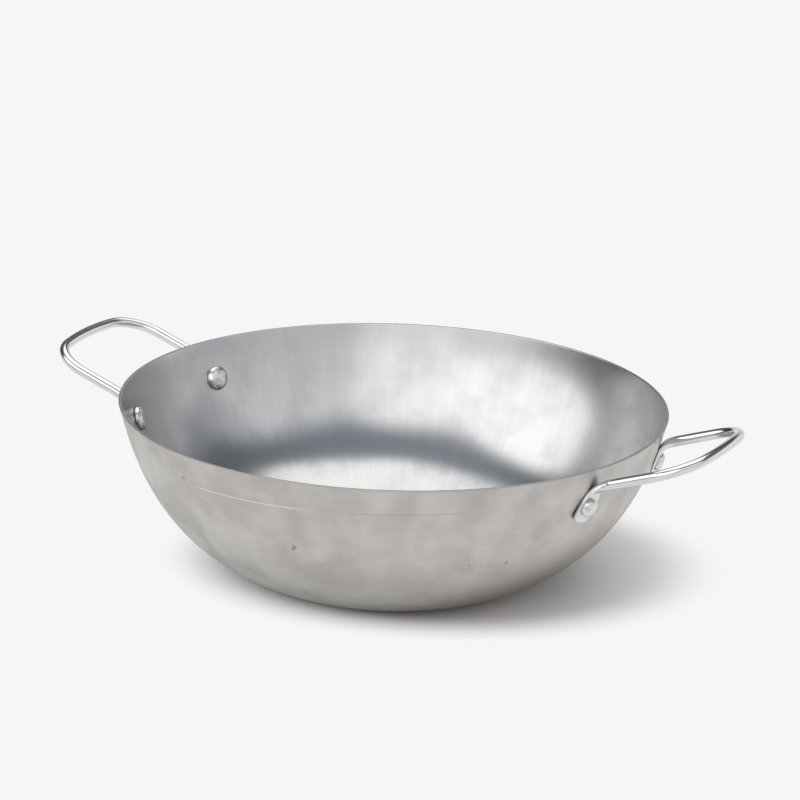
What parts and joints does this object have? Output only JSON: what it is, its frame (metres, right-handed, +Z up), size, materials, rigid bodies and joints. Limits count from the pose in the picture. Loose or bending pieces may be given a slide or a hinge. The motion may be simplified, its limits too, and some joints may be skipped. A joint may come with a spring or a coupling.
{
  "type": "wok",
  "caption": "Flat-bottomed spun steel wok with a plain flared rim and a riveted loop handle of bright bent rod on each side, for frying and steaming over a burner.",
  "frame": {"origin": "middle of the flat base, on the surface that the wok stands on", "axes": "+Z up along the axis of the bowl, +X towards one handle, with the other handle along -X"},
  "size_m": [0.395, 0.3, 0.1076],
  "materials": {
    "bowl_steel": "bare carbon steel, satin with fine spinning lines and faint mottled stains",
    "handle_steel": "bright polished plating on bent rod",
    "rivet_steel": "plain steel, satin, slightly hammered on the formed heads"
  },
  "bodies": {
    "root": {"wok_bowl": "bowl_steel", "handle_right": "handle_steel", "handle_left": "handle_steel", "rivet_right_front": "rivet_steel", "rivet_right_back": "rivet_steel", "rivet_left_front": "rivet_steel", "rivet_left_back": "rivet_steel"}
  },
  "joints": []
}
